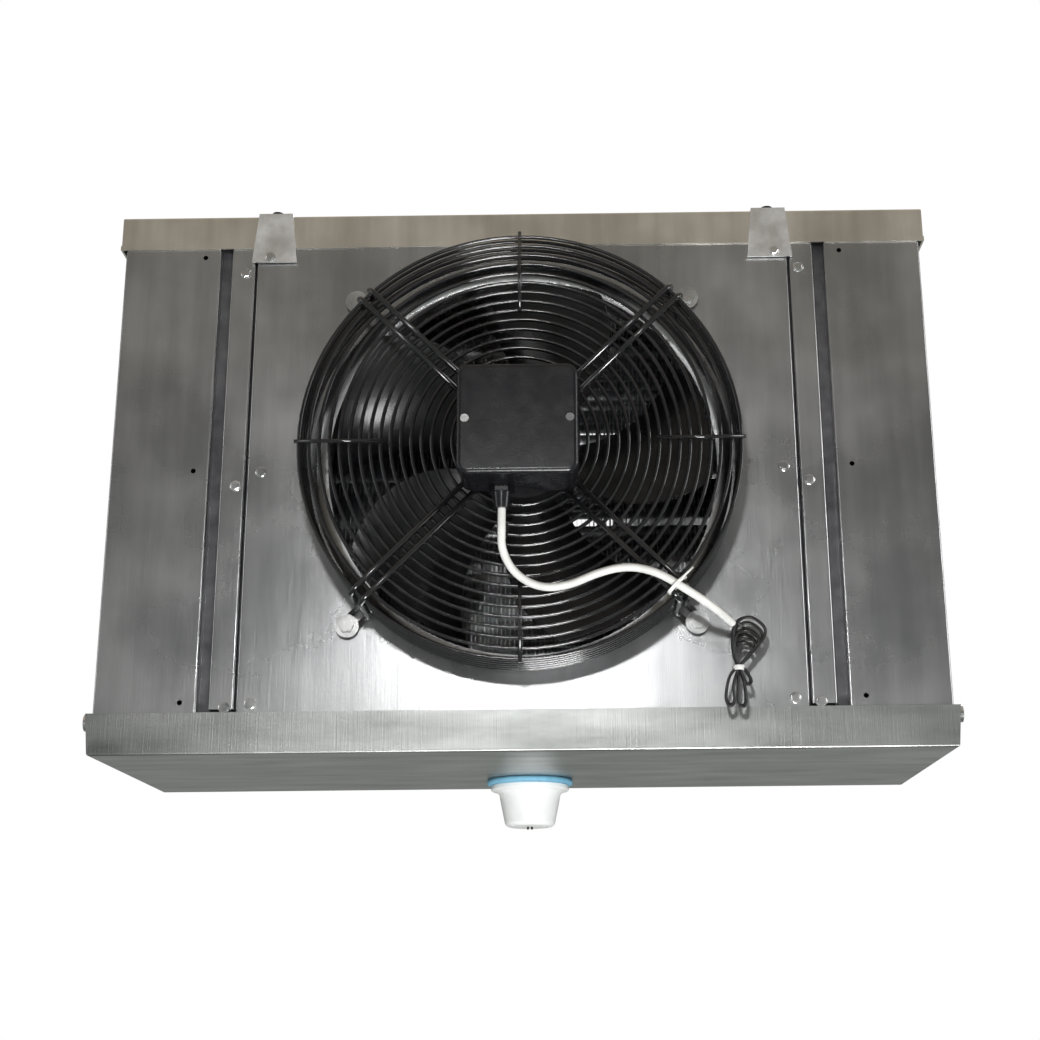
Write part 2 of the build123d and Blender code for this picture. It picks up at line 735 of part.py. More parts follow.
with BuildPart() as blade:
    for radius, chord, pitch, skew in blade_sections:
        camber = blade_camber * chord
        with BuildSketch(blade_plane(radius, pitch, skew)):
            with BuildLine():
                ThreePointArc((-chord / 2, 0), (0, camber), (chord / 2, 0))
                Line((chord / 2, 0), (chord / 2, blade_t))
                ThreePointArc((chord / 2, blade_t), (0, camber + blade_t), (-chord / 2, blade_t))
                Line((-chord / 2, blade_t), (-chord / 2, 0))
            make_face()
    loft()

with BuildPart() as impeller:
    with BuildSketch(fan_plane(blade_centre - 28.0)):
        Circle(hub_r)
        Circle(rotor_r, mode=Mode.SUBTRACT)
    extrude(amount=-56.0)
    for i in range(blade_count):
        add(blade.part.rotate(Axis((0, 0, fan_z), (0, -1, 0)), i * 360 / blade_count + blade_turn))
    with BuildSketch(fan_plane(blade_centre - 60.0)):
        Circle(blade_tip_r)
        Circle(rotor_r, mode=Mode.SUBTRACT)
    extrude(amount=-120.0, mode=Mode.INTERSECT)
save(impeller, "impeller")

# ---------------------------------------------------------------- terminal box
box_rear = arm_y
box_joint = box_rear - box_base_d
box_screws = [(x, 0) for x in (-box_screw_x, box_screw_x)]
with BuildPart() as terminal_base:
    with BuildSketch(fan_plane(box_rear)):
        RectangleRounded(box_w, box_h, box_corner)
    extrude(amount=box_base_d)
    with BuildSketch(fan_plane(box_rear - box_wall)):
        RectangleRounded(box_w - 4 * box_wall, box_h - 2 * box_wall, box_corner - box_wall)
    extrude(amount=box_base_d - box_wall, mode=Mode.SUBTRACT)
    with BuildSketch(fan_plane(box_joint)):
        with Locations(*box_screws):
            Circle(pivot_r)
    extrude(amount=-8.0, mode=Mode.SUBTRACT)
    with BuildSketch(Plane(origin=(gland_x, box_rear - box_base_d / 2, fan_z - box_h / 2), z_dir=(0, 0, 1))):
        Circle(gland_r - 2.5)
    extrude(amount=box_wall, mode=Mode.SUBTRACT)
save(terminal_base, "terminal_box_base")

with BuildPart() as terminal_lid:
    with BuildSketch(fan_plane(box_joint)):
        RectangleRounded(box_w + 2 * box_ledge, box_h + 2 * box_ledge, box_corner)
    extrude(amount=box_lid_d)
    front = terminal_lid.faces().sort_by(Axis.Y)[0]
    fillet(front.edges(), box_edge)
    with BuildSketch(fan_plane(box_joint)):
        RectangleRounded(box_w - 4 * box_wall, box_h - 2 * box_wall, box_corner - box_wall)
    extrude(amount=box_lid_d - box_wall, mode=Mode.SUBTRACT)
    with BuildSketch(fan_plane(box_joint - box_lid_d)):
        with Locations(*box_screws):
            Circle(lid_recess_r)
    extrude(amount=-lid_recess_d, mode=Mode.SUBTRACT)
    with BuildSketch(fan_plane(box_joint)):
        with Locations(*box_screws):
            Circle(pivot_r)
    extrude(amount=box_lid_d, mode=Mode.SUBTRACT)
save(terminal_lid, "terminal_box_lid")

with BuildPart() as lid_screws:
    with BuildSketch(fan_plane(box_joint - box_lid_d + lid_recess_d)):
        with Locations(*box_screws):
            Circle(lid_screw_r)
    extrude(amount=lid_screw_t)
    with BuildSketch(fan_plane(box_joint - box_lid_d + lid_recess_d)):
        with Locations(*box_screws):
            Circle(pivot_r - pivot_play)
    extrude(amount=-(box_lid_d + 4.0))
save(lid_screws, "terminal_lid_screws")

gland_y = box_rear - box_base_d / 2
gland_top = fan_z - box_h / 2
gland_low = gland_top - gland_nut_h - gland_h
with BuildPart() as cable_gland:
    with BuildSketch(Plane(origin=(gland_x, gland_y, gland_top + box_wall + 2), z_dir=(0, 0, -1))):
        Circle(gland_r - 2.6)
    extrude(amount=box_wall + 2)
    with BuildSketch(Plane(origin=(gland_x, gland_y, gland_top), z_dir=(0, 0, -1))):
        RegularPolygon(gland_nut / 2, 6, major_radius=False)
    extrude(amount=gland_nut_h)
    with BuildSketch(Plane(origin=(gland_x, gland_y, gland_top - gland_nut_h), z_dir=(0, 0, -1))):
        Circle(gland_r)
    extrude(amount=gland_h, taper=8)
save(cable_gland, "cable_gland")

# ---------------------------------------------------------------- fan lead, its conductors and ties
lead_points = (
    (gland_x, gland_y, gland_low),
    (gland_x, gland_y, gland_low - 19.0),
    (-17.5, -249.0, -406.0),
    (-5.0, -243.0, -429.0),
    (20.0, -240.5, -443.0),
    (48.0, -240.5, -441.0),
    (78.0, -241.0, -427.5),
    (108.0, -241.0, -421.5),
    (136.0, -241.5, -428.5),
    (160.0, -241.0, -443.5),
    (181.0, -235.0, -456.0),
    (198.0, -217.0, -464.0),
    (211.0, -195.0, -470.0),
)
lead_vectors = [Vector(*p) for p in lead_points]
lead_radii = []
for before, here, after in zip(lead_vectors, lead_vectors[1:], lead_vectors[2:]):
    turn = radians((here - before).get_angle(after - here))
    shorter = min((here - before).length, (after - here).length)
    lead_radii.append(0.45 * shorter / tan(turn / 2))
print("fan lead bend radii", [round(r, 1) for r in lead_radii])

with BuildPart() as fan_lead:
    with BuildLine() as lead_line:
        FilletPolyline(*lead_points, radius=lead_radii)
    with BuildSketch(Plane(origin=lead_line.line @ 0, z_dir=lead_line.line % 0)):
        Circle(lead_d / 2)
    sweep(path=lead_line.line)
lead_wire = lead_line.wires()[0]
lead_length = lead_wire.length
print("fan lead length", round(lead_length, 1))
print("fan lead volume / (section x length)", fan_lead.part.volume / (pi * lead_d ** 2 / 4 * lead_length))
save(fan_lead, "fan_lead")

# The conductors are folded into a small hank that hangs from the lead's end.
lead_end = lead_wire @ 1
hank_outline = (
    (-5, 6), (20, 8), (35, -8), (33, -18), (12, -42), (10, -48),
    (11, -83), (-18, -83), (-20, -60), (-4, -46), (-5, -30),
)
with BuildPart() as conductor_hank:
    with BuildSketch(upright(lead_end.Y - 3)):
        with Locations((lead_end.X, lead_end.Z)):
            Polygon(*hank_outline, align=None)
    extrude(amount=-hank_t)
save(conductor_hank, "conductor_hank")

# A nylon tie holds the lead to the lower right arm of the guard, and another closes the hank.
tie_place = lead_wire @ lead_tie_at
tie_way = lead_wire % lead_tie_at
with BuildPart() as lead_tie:
    with BuildSketch(Plane(origin=tie_place - tie_way * tie_w / 2, z_dir=tie_way)):
        Circle(lead_d / 2 + tie_play + tie_t)
        Circle(lead_d / 2 + tie_play, mode=Mode.SUBTRACT)
    extrude(amount=tie_w)
save(lead_tie, "lead_tie")

with BuildPart() as hank_tie:
    with BuildSketch(Plane.XY.offset(lead_end.Z - hank_tie_drop)):
        with Locations((lead_end.X + 4, lead_end.Y - 3 + hank_t / 2)):
            Rectangle(hank_neck + 4 + 2 * tie_t, hank_t + 2 * tie_play + 2 * tie_t)
            Rectangle(hank_neck + 4, hank_t + 2 * tie_play, mode=Mode.SUBTRACT)
    extrude(amount=tie_w)
save(hank_tie, "hank_tie")

# ---------------------------------------------------------------- screws of the seams
strip_screw_z = (-69.5, -311.0, -544.0)
plate_screw_z = (-51.5, -296.0, -540.0)
with BuildPart() as seam_screws:
    with BuildSketch(upright(front_y)):
        for side in (-1, 1):
            with Locations(*[(side * strip_screw_x, z) for z in strip_screw_z]):
                RegularPolygon(screw_flats / 2, 6, major_radius=False)
            with Locations(*[(side * plate_screw_x, z) for z in plate_screw_z[1:]]):
                RegularPolygon(screw_flats / 2, 6, major_radius=False)
    extrude(amount=screw_head_t)
    with BuildSketch(upright(-roof_d / 2 - hem_t - hanger_t)):
        with Locations(*[(side * plate_screw_x, plate_screw_z[0]) for side in (-1, 1)]):
            RegularPolygon(screw_flats / 2, 6, major_radius=False)
    extrude(amount=screw_head_t)
save(seam_screws, "seam_screws")
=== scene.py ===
import json
import random
from math import cos, pi, radians, sin

import bpy
from mathutils import Matrix, Vector

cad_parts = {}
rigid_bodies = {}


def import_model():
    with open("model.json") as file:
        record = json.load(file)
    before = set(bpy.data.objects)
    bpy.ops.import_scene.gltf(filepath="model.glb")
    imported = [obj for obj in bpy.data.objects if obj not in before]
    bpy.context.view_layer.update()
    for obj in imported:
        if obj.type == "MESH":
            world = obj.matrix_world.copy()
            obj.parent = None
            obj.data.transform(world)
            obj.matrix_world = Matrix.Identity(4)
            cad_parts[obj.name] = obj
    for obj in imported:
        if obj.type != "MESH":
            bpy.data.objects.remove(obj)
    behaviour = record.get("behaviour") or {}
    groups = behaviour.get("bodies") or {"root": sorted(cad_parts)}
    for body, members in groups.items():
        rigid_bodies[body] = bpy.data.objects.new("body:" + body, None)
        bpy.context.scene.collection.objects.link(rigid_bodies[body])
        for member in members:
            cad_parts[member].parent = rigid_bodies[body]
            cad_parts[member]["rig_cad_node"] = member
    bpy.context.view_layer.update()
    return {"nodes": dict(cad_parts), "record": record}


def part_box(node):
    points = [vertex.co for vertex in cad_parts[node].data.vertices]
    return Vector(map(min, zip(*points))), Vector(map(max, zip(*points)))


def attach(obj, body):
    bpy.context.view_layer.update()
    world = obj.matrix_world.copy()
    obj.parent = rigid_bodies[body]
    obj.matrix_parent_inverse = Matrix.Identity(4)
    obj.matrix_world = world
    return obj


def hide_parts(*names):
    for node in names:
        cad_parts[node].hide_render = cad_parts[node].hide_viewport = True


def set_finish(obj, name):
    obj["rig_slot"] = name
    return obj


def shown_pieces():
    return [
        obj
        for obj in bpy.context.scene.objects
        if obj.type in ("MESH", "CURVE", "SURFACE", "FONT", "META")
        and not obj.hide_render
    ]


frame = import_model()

scene = bpy.context.scene
rightwards, inwards, upwards = Vector((1, 0, 0)), Vector((0, 1, 0)), Vector((0, 0, 1))

# %% [markdown]
# # A walk-in unit cooler
# A unit cooler hangs from the ceiling of a cold room. A fan draws the room's air through a finned coil
# behind it and blows it out through a wire guard, and a pan underneath catches the frost that melts off
# the coil. The CAD frame gives every piece its place, so each cell below either gives a CAD piece its
# finish or builds a finer piece in the same place. All lengths are in metres.
#
# ## The camera
# The picture is taken from a little below the unit, almost straight on, looking up at it. Looking up
# shows the underside of the pan with its drain, which is what a person in a cold room sees. We set the
# camera's matrix from three angles, so each can be understood alone: yaw turns it, pitch tips it and
# roll tilts it. A small shift centres the unit without turning the camera any further.

# %% The camera
camera_place = Vector((0.0599, -1.8583, -0.8223))
yaw, pitch, roll = radians(-0.377), radians(17.321), radians(-0.551)

forward = Vector((sin(yaw) * cos(pitch), cos(yaw) * cos(pitch), sin(pitch)))
level_right = Vector((cos(yaw), -sin(yaw), 0))
level_up = level_right.cross(forward)
right = cos(roll) * level_right + sin(roll) * level_up
up = cos(roll) * level_up - sin(roll) * level_right

camera = bpy.data.objects.new("camera", bpy.data.cameras.new("camera"))
scene.collection.objects.link(camera)
camera.matrix_world = Matrix.LocRotScale(camera_place, Matrix((right, up, -forward)).transposed(), None)
camera.data.sensor_width = 36
camera.data.lens = 58.61
camera.data.shift_x = -0.0467
camera.data.shift_y = -0.0522
scene.camera = camera
print("camera at", camera_place, "looking along", forward)

# %% [markdown]
# ## The fan lead
# One white round cable leaves the gland of the terminal box, droops under the box and rises over the
# guard's wires to its lower right arm. A cable is a curve with a round section: we list the few points
# that it leans towards, as the CAD does, and a smooth spline of order 3 runs between them. Each point
# carries half the cable's diameter as its radius, and a bevel depth of one leaves that radius as it is.
# The sheath is stiff, so its bends are wide and nowhere sharp.

# %% The fan lead
lead_diameter = 0.008
gland_mouth = Vector((-0.017, -0.253, -0.365))
lead_points = (
    gland_mouth,
    (-0.0170, -0.2530, -0.3840),
    (-0.0175, -0.2490, -0.4060),
    (-0.0050, -0.2430, -0.4290),
    (0.0200, -0.2405, -0.4430),
    (0.0480, -0.2405, -0.4410),
    (0.0780, -0.2410, -0.4275),
    (0.1080, -0.2410, -0.4215),
    (0.1360, -0.2415, -0.4285),
    (0.1600, -0.2410, -0.4435),
    (0.1810, -0.2350, -0.4560),
    (0.1980, -0.2170, -0.4640),
    (0.2110, -0.1950, -0.4700),
)
lead_end = Vector(lead_points[-1])

lead_curve = bpy.data.curves.new("fan_lead_sheath", "CURVE")
lead_curve.dimensions = "3D"
spline = lead_curve.splines.new("NURBS")
spline.points.add(len(lead_points) - 1)
for control, place in zip(spline.points, lead_points):
    control.co = (*place, 1)
    control.radius = lead_diameter / 2
spline.order_u = 3
spline.use_endpoint_u = True
spline.resolution_u = 16
lead_curve.bevel_depth = 1.0
lead_curve.bevel_resolution = 6
lead_curve.use_fill_caps = True
lead = bpy.data.objects.new("fan_lead_sheath", lead_curve)
scene.collection.objects.link(lead)
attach(lead, "root")
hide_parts("fan_lead")
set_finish(lead, "white_pvc")
print("the lead leans on", len(lead_points), "points")

# %% [markdown]
# ## Helpers that make pieces
# `piece` turns corners and faces into an object and says which body it rides on, so that it moves with
# the CAD when a joint turns. It also says which CAD nodes the object stands for, and those are then
# hidden. `joined` puts several shapes into one, with the corners of each counted on from the last.

# %% Helpers that make pieces
def piece(name, corners, faces, body, slot, replaced=(), smooth=True):
    """An object from corners and faces, on a body, that stands for the CAD nodes it replaces."""
    mesh = bpy.data.meshes.new(name)
    mesh.from_pydata(corners, [], faces)
    mesh.update()
    mesh.polygons.foreach_set("use_smooth", [smooth] * len(mesh.polygons))
    made = bpy.data.objects.new(name, mesh)
    scene.collection.objects.link(made)
    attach(made, body)
    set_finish(made, slot)
    if replaced:
        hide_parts(*replaced)
    print(name, "has", len(mesh.polygons), "faces")
    return made


def joined(*shapes):
    """Several shapes, each of corners and faces, as one."""
    corners, faces = [], []
    for more_corners, more_faces in shapes:
        faces += [tuple(index + len(corners) for index in face) for face in more_faces]
        corners += more_corners
    return corners, faces


# %% [markdown]
# ## Helpers that draw round things
# Most of the finer pieces are round wire or tube. `tube` walks along a route and sets a ring of corners
# at each point, square to the way it is going, then joins each ring to the next. The ring's first side
# is carried along from point to point, so the wire doesn't twist. `flowing` eases a route through a few
# points: each stretch is a cubic that takes its direction from the points before and after it.

# %% Helpers that draw round things
def around(count):
    """Angles in equal steps round a whole circle."""
    return [2 * pi * i / count for i in range(count)]


def arc(first, last, steps):
    """Angles from one to another, given in degrees."""
    return [radians(first + (last - first) * i / steps) for i in range(steps + 1)]


def rounded(across, along, bend, first, last, steps):
    """Flat points of a bend about a centre, from one angle to another in degrees."""
    return [(across + bend * cos(t), along + bend * sin(t)) for t in arc(first, last, steps)]


def tube(routes, radius, closed=False, sides=12):
    """Corners and faces of round wires that follow routes, each a list of points."""
    corners, faces = [], []
    for route in routes:
        points = [Vector(p) for p in route]
        last = len(points) - 1
        start = len(corners)
        side = None
        for i, point in enumerate(points):
            ahead = points[(i + 1) % len(points)] if closed else points[min(i + 1, last)]
            behind = points[i - 1] if closed else points[max(i - 1, 0)]
            way = (ahead - behind).normalized()
            side = way.orthogonal() if side is None else side - way * side.dot(way)
            side.normalize()
            across = way.cross(side)
            corners += [point + radius * (cos(a) * side + sin(a) * across) for a in around(sides)]
        for i in range(len(points) if closed else last):
            here, there = start + i * sides, start + (i + 1) % len(points) * sides
            for k in range(sides):
                n = (k + 1) % sides
                faces.append((here + k, here + n, there + n, there + k))
        if not closed:
            faces.append(tuple(start + k for k in reversed(range(sides))))
            faces.append(tuple(start + last * sides + k for k in range(sides)))
    return corners, faces


def flowing(points, steps=8):
    """A smooth route through points, each stretch eased by its neighbours."""
    points = [Vector(p) for p in points]
    padded = [2 * points[0] - points[1]] + points + [2 * points[-1] - points[-2]]
    route = []
    for a, b, c, d in zip(padded, padded[1:], padded[2:], padded[3:]):
        for k in range(steps):
            t = k / steps
            slope, curve, twist = c - a, 2 * a - 5 * b + 4 * c - d, 3 * b - a - 3 * c + d
            route.append(0.5 * (2 * b + slope * t + curve * t**2 + twist * t**3))
    return route + [points[-1]]


# %% [markdown]
# ## The conductors at the lead's end
# The sheath is stripped here, and the thin black conductors inside are folded up and tied, ready for an
# electrician to join. Above the tie they make a bulge of turns, straight on its left and full on its
# right, one turn inside another. Below the tie they fold over in two long narrow loops, and a small
# curl sticks out beside the neck. Each shape is drawn once, in millimetres from the neck, and repeated
# at several depths and sizes.

# %% The folded conductors
conductor_r = 0.0014
neck = lead_end + Vector((0.005, 0, -0.043))
out_of_sheath = ((-0.003, -0.001, 0.001), (0.004, 0.001, 0.001), (0.012, 0.004, -0.004))
bulge = ((0, 0), (-5, 16), (-4, 36), (2, 47), (14, 50), (26, 42), (28, 32), (17, 17), (4, 3), (0, 0))
left_loop = ((0, 0), (-8, -8), (-12, -18), (-14, -32), (-11, -40), (-6, -36), (-6, -20), (-1, -3))
right_loop = ((0, 0), (-1, -16), (-2, -35), (2, -41), (6, -36), (5, -18), (1, -3))
curl = ((0, 0), (7, -5), (12, -15), (8, -19), (4, -11), (1, -3))
bulge_layers = (
    (-0.1955, (0.96, 0.70, 0.46)),
    (-0.1922, (0.86, 0.60)),
    (-0.1890, (1.0, 0.76, 0.50)),
    (-0.1858, (0.90, 0.66)),
)
loop_layers = ((-0.1945, 1.0), (-0.1910, 0.95))
layer_gap = 0.0008


def strand(points, depth, size):
    """One conductor through points given across and up from the neck, in millimetres."""
    return flowing([(neck.x + size * x / 1000, depth, neck.z + size * z / 1000) for x, z in points])


hank_routes = [flowing([lead_end + Vector(step) for step in out_of_sheath])]
for depth, sizes in bulge_layers:
    hank_routes += [strand(bulge, depth, size) for size in sizes]
for depth, size in loop_layers:
    hank_routes.append(strand(left_loop, depth, size))
    hank_routes.append(strand(right_loop, depth + 2 * layer_gap, size))
    hank_routes.append(strand(curl, depth + layer_gap, size))
hank_shape = tube(hank_routes, conductor_r, sides=8)
hank = piece("folded_conductors", *hank_shape, "root", "black_pvc", ["conductor_hank"])

# %% [markdown]
# ## The ties
# Two white nylon ties hold the cable. One goes round the lead and the two rods of the guard's lower
# right arm, so the fan's draught can't shake the lead loose, and its cut end sticks up. The other
# closes the neck of the folded conductors. Both are flat bands, so each is drawn as a few thin turns
# side by side.

# %% The ties
turn_pitch = 0.00112


def band(centre, across, along, half_across, half_deep, turns):
    """Routes of a tie: closed turns side by side, wide across and deep through the bundle."""
    routes = []
    for i in range(turns):
        middle = centre + along * (i - (turns - 1) / 2) * turn_pitch
        routes.append(
            [middle + across * half_across * cos(a) + inwards * half_deep * sin(a) for a in around(24)]
        )
    return routes


arm_out = (rightwards - upwards).normalized()
arm_across = (rightwards + upwards).normalized()
tie_low, tie_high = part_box("lead_tie")
tie_set_back = 0.0045
lead_tie_across, lead_tie_deep, lead_tie_r = 0.0118, 0.0098, 0.0008
tail_r = 0.0011
tail_points = ((0.004, -0.0092), (0.013, -0.0105), (0.022, -0.0085))
lead_tie_place = (tie_low + tie_high) / 2 + inwards * tie_set_back
turns = band(lead_tie_place, arm_across, arm_out, lead_tie_across, lead_tie_deep, 3)
loop = tube(turns, lead_tie_r, closed=True, sides=6)
tail = tube([[lead_tie_place + arm_across * r + inwards * y for r, y in tail_points]], tail_r, sides=8)
lead_band = piece("lead_tie_band", *joined(loop, tail), "root", "white_nylon", ["lead_tie"])

hank_depth = -0.1905
hank_tie_drop = 0.002
hank_tie_across, hank_tie_deep, hank_tie_r = 0.0052, 0.0075, 0.0009
hank_tie_place = Vector((neck.x, hank_depth, neck.z - hank_tie_drop))
turns = band(hank_tie_place, rightwards, upwards, hank_tie_across, hank_tie_deep, 4)
loop = tube(turns, hank_tie_r, closed=True, sides=6)
hank_band = piece("hank_tie_band", *loop, "root", "white_nylon", ["hank_tie"])

# %% [markdown]
# ## The guard's rings
# The guard is welded from black coated wire. Sixteen rings close its face and five more close its
# side, so that no finger reaches the blades. The CAD's rings have few sides and square wire, to stay
# light, and here we draw the true round wire at the same places.

# %% The guard's rings
ring_wire = 0.004
face_ring_count, side_ring_count = 16, 5
ring_pitch = 0.0104
ring_steps = 96
rings_low, rings_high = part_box("guard_rings")
fan_axis = (rings_low + rings_high) / 2
hub = Vector((fan_axis.x, 0, fan_axis.z))
rim_r = (rings_high.x - rings_low.x) / 2 - ring_wire / 2


def ring_route(radius, depth):
    """A circle about the fan axis at a depth."""
    return [(hub.x + radius * cos(a), depth, hub.z + radius * sin(a)) for a in around(ring_steps)]


face_routes = [ring_route(rim_r - i * ring_pitch, fan_axis.y) for i in range(face_ring_count)]
face_shape = tube(face_routes, ring_wire / 2, closed=True)
piece("guard_face_wires", *face_shape, "root", "black_wire", ["guard_rings"])

side_low, side_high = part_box("guard_side_rings")
first_depth = side_low.y + ring_wire / 2
side_step = (side_high.y - side_low.y - ring_wire) / (side_ring_count - 1)
side_routes = [ring_route(rim_r, first_depth + i * side_step) for i in range(side_ring_count)]
side_shape = tube(side_routes, ring_wire / 2, closed=True)
piece("guard_side_wires", *side_shape, "root", "black_wire", ["guard_side_rings"])

# %% [markdown]
# ## The guard's arms
# Four hairpins of thicker rod carry the rings and the motor. Each comes out from the motor, turns back
# round the rim, turns out again on the fan plate and loops round its bolt. So we draw one leg's profile
# as radius and depth, and go out along it on one side of the arm and back on the other. Four short
# spokes between the arms keep the outer rings apart.

# %% The guard's arms
arm_rod = 0.006
arms_low, arms_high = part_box("guard_arms")
rod_y = arms_low.y + arm_rod / 2
foot_y = arms_high.y - arm_rod / 2
arm_start = 0.049
arm_r = rim_r + ring_wire / 2 + arm_rod / 2
foot_r = 0.252
foot_straight = 0.002
arm_half = 0.007
rim_bend, foot_bend = 0.010, 0.005
bend_steps, eye_steps = 8, 12

profile = [(arm_start, rod_y)]
profile += rounded(arm_r - rim_bend, rod_y + rim_bend, rim_bend, -90, 0, bend_steps)
profile += rounded(arm_r + foot_bend, foot_y - foot_bend, foot_bend, 180, 90, bend_steps)
profile += [(foot_r - foot_straight, foot_y)]

arm_routes = []
for angle in (45, 135, 225, 315):
    out = Vector((cos(radians(angle)), 0, sin(radians(angle))))
    across = Vector((-out.z, 0, out.x))
    go = [hub + out * r - across * arm_half + inwards * y for r, y in profile]
    back = [hub + out * r + across * arm_half + inwards * y for r, y in reversed(profile)]
    eye = [
        hub + out * (foot_r + arm_half * cos(t)) + across * arm_half * sin(t) + inwards * foot_y
        for t in arc(-90, 90, eye_steps)
    ]
    arm_routes.append(go + eye + back)
piece("guard_hairpins", *tube(arm_routes, arm_rod / 2), "root", "black_wire", ["guard_arms"])

spokes_low, spokes_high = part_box("guard_spokes")
spoke_y = (spokes_low.y + spokes_high.y) / 2
spoke_in, spoke_out = 0.139, (spokes_high.x - spokes_low.x) / 2 - ring_wire / 2
spoke_hub = hub + inwards * spoke_y
spoke_routes = [
    [spoke_hub + out * spoke_in, spoke_hub + out * spoke_out]
    for out in (rightwards, upwards, -rightwards, -upwards)
]
piece("guard_short_spokes", *tube(spoke_routes, ring_wire / 2), "root", "black_wire", ["guard_spokes"])

# %% [markdown]
# ## The coil's fins
# Air is cooled by thin aluminium fins, a few millimetres apart. The CAD has fewer and thicker ones.
# Here the fins stand at their real pitch, and each leans a little, as thin fins do after handling: we
# cut it into levels from foot to top and push each level a little to the left or right. The random
# numbers come from one seeded source, so every run bends the fins in the same way.

# %% The coil's fins
fins_low, fins_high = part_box("fin_pack")
fin_pitch, fin_thick, fin_end_gap = 0.0048, 0.0003, 0.001
fin_lean, fin_levels = 0.0006, 8
chance = random.Random(7)
fin_corners, fin_faces = [], []
for i in range(int((fins_high.x - fins_low.x - fin_end_gap) / fin_pitch)):
    x = fins_low.x + fin_end_gap + (i + 0.5) * fin_pitch
    start = len(fin_corners)
    for k in range(fin_levels):
        left = x + chance.uniform(-fin_lean, fin_lean)
        z = fins_low.z + (fins_high.z - fins_low.z) * k / (fin_levels - 1)
        for dx, y in ((0, fins_low.y), (fin_thick, fins_low.y), (fin_thick, fins_high.y), (0, fins_high.y)):
            fin_corners.append((left + dx, y, z))
    for k in range(fin_levels - 1):
        a, b = start + 4 * k, start + 4 * (k + 1)
        for n in range(4):
            fin_faces.append((a + n, a + (n + 1) % 4, b + (n + 1) % 4, b + n))
piece("coil_fins", fin_corners, fin_faces, "root", "aluminium_fins", ["fin_pack"], smooth=False)

# %% [markdown]
# ## The coil's tubes
# Round copper tubes run through the fins in four rows of ten. Each fin has a collar that grips the
# tube, so between the fins only aluminium shows. Outside the tube sheets the tubes end in U-shaped
# return bends, which join one row to the next.

# %% The coil's tubes
tubes_low, tubes_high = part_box("coil_tubes")
tube_r, tube_edge, collar_thick = 0.0074, 0.0075, 0.0006
bend_r, bend_reach = 0.0062, 0.0155


def spaced(low, high, count):
    """Middles of tubes set evenly between two faces of their box."""
    return [low + tube_edge + i * (high - low - 2 * tube_edge) / (count - 1) for i in range(count)]


tube_rows = spaced(tubes_low.y, tubes_high.y, 4)
tube_levels = spaced(tubes_low.z, tubes_high.z, 10)
straight = [[(tubes_low.x, y, z), (tubes_high.x, y, z)] for y in tube_rows for z in tube_levels]
piece("coil_round_tubes", *tube(straight, tube_r, sides=16), "root", "copper", ["coil_tubes"])
collars = [[(fins_low.x, y, z), (fins_high.x, y, z)] for y in tube_rows for z in tube_levels]
piece("fin_collars", *tube(collars, tube_r + collar_thick, sides=16), "root", "aluminium_fins")

for name, edge, side, pairs in (
    ("return_bends_left", tubes_low.x, -1, ((0, 1), (2, 3))),
    ("return_bends_right", tubes_high.x, 1, ((1, 2),)),
):
    routes = []
    for a, b in pairs:
        middle, half = (tube_rows[a] + tube_rows[b]) / 2, (tube_rows[b] - tube_rows[a]) / 2
        bend = [(edge + side * bend_reach * cos(t), middle + half * sin(t)) for t in arc(-90, 90, 12)]
        routes += [[(x, y, z) for x, y in bend] for z in tube_levels]
    piece(f"{name}_round", *tube(routes, bend_r), "root", "copper", [name])

# %% [markdown]
# ## The drain
# A drain fitting is turned or moulded about one axis, so we draw half its outline and spin it. The soft
# blue gasket is squeezed between the pan and the flange, which rounds its edge. The cup narrows towards
# its foot and carries the two small dark gate marks that moulding leaves.

# %% The drain
def lathe(outline, centre, steps=64):
    """Corners and faces from an outline of (radius, height) spun about an upright axis."""
    corners = [(centre.x + r * cos(a), centre.y + r * sin(a), z) for a in around(steps) for r, z in outline]
    faces, count = [], len(outline)
    for i in range(steps):
        a, b = i * count, (i + 1) % steps * count
        for k in range(count - 1):
            faces.append((a + k, b + k, b + k + 1, a + k + 1))
    return corners, faces


gasket_low, gasket_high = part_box("drain_gasket")
drain = (gasket_low + gasket_high) / 2
gasket_r = (gasket_high.x - gasket_low.x) / 2
gasket_bore, gasket_half = 0.0165, 0.0032
gasket_foot = gasket_high.z - 2 * gasket_half
gasket_edge = rounded(gasket_r - gasket_half, gasket_high.z - gasket_half, gasket_half, 90, -90, 6)
outline = [(gasket_bore, gasket_high.z), *gasket_edge, (gasket_bore, gasket_foot)]
piece("drain_soft_gasket", *lathe(outline, drain), "pan", "blue_rubber", ["drain_gasket"])

fitting_low, fitting_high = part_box("drain_fitting")
flange_r = (fitting_high.x - fitting_low.x) / 2
spigot_r, flange_thick, foot_ring = 0.016, 0.006, 0.002
top_round, low_round, foot_round = 0.001, 0.0015, 0.006
cup_wall = ((0.0385, 0.0004), (0.0345, 0.004), (0.0335, 0.010))
cup_foot_r, foot_dish = 0.0225, 0.0008
flange_low = gasket_foot - flange_thick
foot = fitting_low.z + foot_ring
outline = [
    (0.0, fitting_high.z),
    (spigot_r, fitting_high.z),
    (spigot_r, gasket_foot),
    *rounded(flange_r - top_round, gasket_foot - top_round, top_round, 90, 0, 3),
    *rounded(flange_r - low_round, flange_low + low_round, low_round, 0, -90, 4),
    *[(r, flange_low - down) for r, down in cup_wall],
    *rounded(cup_foot_r, foot + foot_round + foot_dish, foot_round, -6, -84, 6),
    (0.0, foot + foot_dish),
]
piece("drain_moulded_fitting", *lathe(outline, drain), "pan", "white_plastic", ["drain_fitting"])

